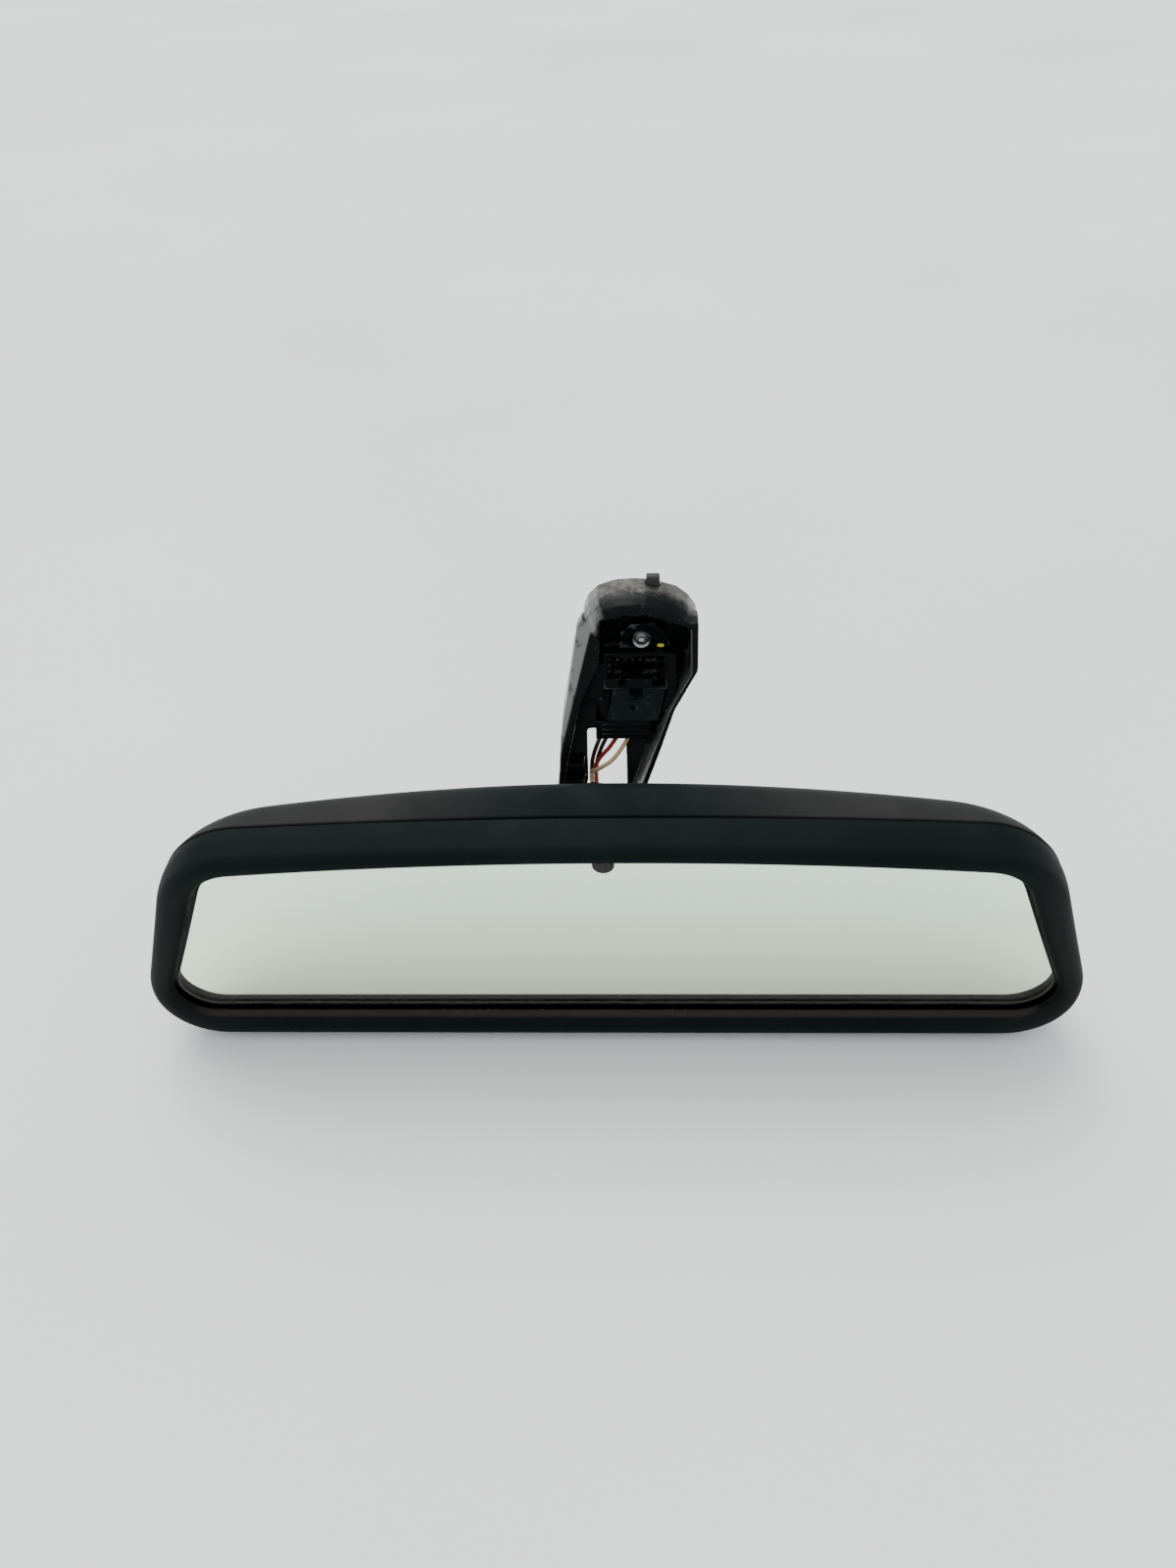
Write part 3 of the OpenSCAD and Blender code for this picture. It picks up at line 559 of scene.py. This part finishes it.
def outline(side, top, bottom, more, arch=CROWN):
    """The glass opening grown by side, top and bottom, in millimetres, as (x, z) pairs.

    more is added to the corner radii, and arch bows the upper edge.
    """
    z0, z1 = -OPEN_H / 2 - bottom, OPEN_H / 2 + top
    sw, se = Vector((-OPEN_LOW - side, z0)), Vector((OPEN_LOW + side, z0))
    ne, nw = Vector((OPEN_HIGH + TOP_GROWTH * side, z1)), Vector((-OPEN_HIGH - TOP_GROWTH * side, z1))
    c1, c2 = fillet(nw, sw, se, CORNER_LOW + more), fillet(sw, se, ne, CORNER_LOW + more)
    c3, c4 = fillet(se, ne, nw, CORNER_HIGH + more), fillet(ne, nw, sw, CORNER_HIGH + more)
    points = (c1 + between(c1[-1], c2[0], LONG_STEPS) + c2 + between(c2[-1], c3[0], SIDE_STEPS)
              + c3 + between(c3[-1], c4[0], LONG_STEPS) + c4 + between(c4[-1], c1[0], SIDE_STEPS))
    return [(p.x, p.y - arch * (p.x / 100) ** 2 * (p.y - z0) / (z1 - z0)) for p in points]


def station(depth, side, top, bottom, more, arch=CROWN):
    """A ring of the casing at a depth behind the glass front, all in millimetres."""
    return [GLASS + Vector((x, depth, z)) * MM for x, z in outline(side, top, bottom, more, arch)]


def round_station(depth, radius, like):
    """A round ring about the ball's axis with its points at the bearings of another ring's."""
    out = []
    for p in station(*like):
        bearing = math.atan2(p.z - BALL.z, p.x - BALL.x)
        out.append(Vector((BALL.x + radius * MM * math.cos(bearing), GLASS.y + depth * MM,
                           BALL.z + radius * MM * math.sin(bearing))))
    return out


# Each row below is a station: depth, side, top, bottom, more, arch

def bezel():
    """Rounded frame round the glass, with a wall at its back round the shell's tongue."""
    front = spline([
        [-0.05, 0, 0, 0, 0, 4.5], [-1.9, 0.5, 0.4, 0.5, 0.5, 4.5], [-3.1, 1.8, 1.3, 1.8, 1.8, 4.3],
        [-3.5, 3.7, 2.4, 3.5, 4, 4], [-3.1, 6, 3.6, 5.6, 6, 3.8], [-1.6, 8, 4.8, 7.4, 8.5, 3.5],
        [0.8, 8.9, 5.6, 8.5, 10, 3.3], [4, 9, 6.4, 8.8, 10, 3.2],
        [6.75, 8.65, 6.87, 8.55, 10, 3.2]], SPAN_STEPS)
    back = [[6.93, 8.5, 6.77, 8.4, 10, 3.2], [7, 8.3, 6.6, 8.2, 10, 3.2], [7, 6.8, 5.1, 6.6, 9.3, 3.3],
            [2.6, 7, 3.8, 6.4, 8.5, 3.6], [2.6, 2.1, 2.1, 2.1, 2, 4.5], [-0.05, 2.1, 2.1, 2.1, 2, 4.5]]
    piece = loft("bezel_frame", [station(*s) for s in front + back], True)
    return placed(piece, "head", "bezel_plastic", MATERIALS["bezel_plastic"], "bezel")


def rear_housing():
    """Back shell with its tongue, its round collar about the ball, and its inside."""
    rim = [29.8, -34, -7.5, -10, -1, 6]
    tongue = [[5.4, 5.2, 3.0, 4.9, 7.5, 3.6], [5.4, 6.67, 4.43, 6.33, 9, 3.5],
              [7.6, 6.6, 4.9, 6.4, 9.3, 3.4], [7.6, 8.4, 6.6, 8.3, 10, 3.2], [7.68, 8.6, 6.8, 8.5, 10, 3.2]]
    shell = spline([[7.9, 8.7, 6.95, 8.6, 10, 3.2], [12, 7.8, 8.3, 9, 12, 5], [16, 6.3, 8.9, 8.8, 14, 7.4],
                    [20, 2.5, 7, 7.4, 15, 9.2], [24, -5, 2.6, 4.2, 14, 10], [28, -18, -1.5, -2.4, 8, 9],
                    rim], SPAN_STEPS)
    inside = [[27.9, -34, -9.5, -12.5, -3, 6], [26.2, -19.5, -3.5, -4.4, 6, 9], [22.5, -7, 0.6, 2.2, 12, 10],
              [19, 0.4, 4.9, 5.4, 13, 9.2], [15.6, 4.2, 6.9, 6.8, 12, 7.4], [11.6, 5.7, 6.3, 7, 10, 5],
              [7.6, 5.2, 3.4, 4.9, 7.5, 3.5]]
    # Depth and radius of each round ring
    collar = [(30.25, 16), (30.35, 13.8), (30.4, 13.1), (30.3, 12.7), (30.0, 12.6), (28.4, 12.6)]
    rings = [station(*s) for s in tongue + shell] + [round_station(d, r, rim) for d, r in collar]
    rings += [station(*s) for s in inside]
    piece = loft("rear_shell", rings, True)
    return placed(piece, "head", "housing_plastic", MATERIALS["housing_plastic"], "rear_housing")


bezel()
rear_housing()


# ---------- arm ----------

def arm_casting():
    """The arm's die casting with softened edges."""
    piece = cast("arm_casting", CAST_VOXEL, CAST_ROUNDS)
    return placed(piece, "arm", "cast_arm", MATERIALS["cast_arm"], "arm_casting")


def ball_stud():
    """Ball, hollow neck, collar and shank in one turning about the stud's axis."""
    edge = 0.3 * MM
    neck_angle = math.degrees(math.asin(NECK_R / BALL_R))
    mouth_angle = 180 - math.degrees(math.asin((CABLE_R + edge) / BALL_R))
    # The ball stops 3 degrees before the neck, and a short cone joins them
    ball = arc(BALL_R, mouth_angle, neck_angle + 3, 40, (0, BALL.y))
    profile = [(CABLE_R, BALL.y - BALL_R + 0.9 * MM)] + ball + [
        (NECK_R, ball[-1][1] + 0.6 * MM), (NECK_R, STUD_SEAT - 2.2 * MM),
        (NECK_R + 0.6 * MM, STUD_SEAT - 1.6 * MM), (COLLAR_R - edge, STUD_SEAT - 1.5 * MM),
        (COLLAR_R, STUD_SEAT - 1.2 * MM), (COLLAR_R, STUD_SEAT), (SHANK_R, STUD_SEAT),
        (SHANK_R, STUD_BACK - edge), (SHANK_R - edge, STUD_BACK), (CABLE_R, STUD_BACK)]
    piece = lathe("ball_stud_turned", profile, Vector((BALL.x, 0, BALL.z)))
    return placed(piece, "arm", "zinc_stud", MATERIALS["zinc_stud"], "ball_stud")


def spring_rivet():
    """Ringed rivet head on the foot's web: a raised rim round a domed centre."""
    low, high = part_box("spring_rivet")
    centre = Vector(((low.x + high.x) / 2, 0, (low.z + high.z) / 2))
    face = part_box("paint_dot")[1].y
    shank = 1.05 * MM
    # Radius and height over the web of the head's points, in millimetres, from its rim to its middle
    head = [(2.6, 0), (2.55, 0.45), (2.35, 0.7), (1.95, 0.62), (1.7, 0.35), (1.15, 0.4), (0.95, 1.1),
            (0.6, 1.5), (0, 1.65)]
    profile = [(0, high.y), (shank, high.y), (shank, face)] + [(r * MM, face - h * MM) for r, h in head]
    piece = lathe("rivet_head", profile, centre, 48, 50)
    return placed(piece, "arm", "zinc_stud", MATERIALS["zinc_stud"], "spring_rivet")


WIRE_D = 1.2 * MM
BORE_OFFSET = 0.65  # of each wire from the middle of the stud's bore, in millimetres

# Each wire's route from the connector to the window, in millimetres, then its side of the stud's bore
# and whether it lies on the outside of the bend (1) or on its inside (0)
WIRES = {
    "wire_red": ([(-4.5, -19.2, -15.6), (-6, -20.6, -19.5), (-8.6, -22.2, -23.2), (-11.4, -22.8, -26.5),
                  (-12.75, -22.9, -29.4)], BORE_OFFSET, 0),
    "wire_cream": ([(-1.5, -19.2, -15.6), (-3.2, -21, -20.2), (-7.4, -24.4, -25.4), (-11.2, -25.2, -28.2),
                    (-13.6, -24.2, -30.2)], -BORE_OFFSET, 0),
    "wire_brown": ([(-9, -18.2, -15.6), (-10.6, -19.4, -20), (-12.4, -20.8, -24), (-13.6, -21.4, -28)],
                   -BORE_OFFSET, 1),
    "wire_black": ([(-6.8, -18, -15.6), (-8.6, -19.2, -20), (-10.8, -20.6, -24), (-12.2, -21.4, -28)],
                   BORE_OFFSET, 1),
}


def through_stud(dx, outer):
    """Route behind the leg and forward through the stud, in millimetres."""
    x, z = BALL.x / MM + dx, BALL.z / MM + (-BORE_OFFSET if outer else BORE_OFFSET)
    return [(x, -22.8 + 1.3 * outer, -32.5), (x, -22.9 + 1.3 * outer, -35.5 - 0.5 * outer),
            (x, -24.1 + 1.4 * outer, -38.6 - outer), (x, -27.2 + 1.4 * outer, z + 0.15 + 0.2 * outer),
            (x, -31 + outer, z), (x, -40, z), (x, -50, z)]


def wires():
    """The four wires from the connector into the ball."""
    for name, (route, dx, outer) in WIRES.items():
        points = [tuple(c * MM for c in p) for p in route + through_stud(dx, outer)]
        placed(tube(name + "_skin", points, WIRE_D), "arm", name, MATERIALS[name], name)


arm_casting()
ball_stud()
spring_rivet()
wires()

# The width of the rounding on each moulded or bent part's edges, in millimetres
ROUNDINGS = {"connector_carrier": 0.18, "connector_housing": 0.14, "connector_lock": 0.2,
             "cable_guide": 0.12, "locating_peg": 0.35, "mount_spring": 0.15}
for part, width in ROUNDINGS.items():
    slot_name = next(s["material_slot"] for s in frame["record"]["subparts"] if s["node"] == part)
    placed(bevelled(part, width * MM), "arm", slot_name, MATERIALS[slot_name], part)

# The CAD nodes that stay get their slot's material
for row in frame["record"]["subparts"]:
    cad = nodes[row["node"]]
    cad.data.materials.clear()
    cad.data.materials.append(MATERIALS[row["material_slot"]])


# ---------- floor and light ----------

def floor():
    """A wide pale sheet under the mirror."""
    size = 6.0
    mesh = bpy.data.meshes.new("floor")
    corners = [(-size, -size), (size, -size), (size, size), (-size, size)]
    mesh.from_pydata([(x, y, FLOOR_Z) for x, y in corners], [], [(0, 1, 2, 3)])
    sheet = new_object("floor", mesh)
    p = Paint("floor_paper")
    colour = p.mix(p.ramp(p.noise(3, 3), 0.3, 0.7), (0.83, 0.83, 0.815), (0.88, 0.88, 0.865))
    sheet.data.materials.append(p.set(Base_Color=colour, Roughness=0.85))


def soft_sun(name, heading, strength, spread, colour):
    """A broad, even light from one direction."""
    data = bpy.data.lights.new(name, "SUN")
    data.energy = strength
    data.angle = math.radians(spread)
    data.color = colour
    lamp = new_object(name, data)
    lamp.rotation_euler = (-Vector(heading)).to_track_quat("-Z", "Y").to_euler()


def studio():
    """An even sky, and one broad light from above and behind the object."""
    world = bpy.data.worlds.new("soft_room")
    world.use_nodes = True
    sky = next(n for n in world.node_tree.nodes if n.type == "BACKGROUND")
    sky.inputs["Color"].default_value = (0.87, 0.91, 0.95, 1)
    sky.inputs["Strength"].default_value = 1.35
    bpy.context.scene.world = world
    soft_sun("window", (-0.25, 0.55, 1.0), 2.6, 45, (1.0, 0.985, 0.96))


floor()
studio()
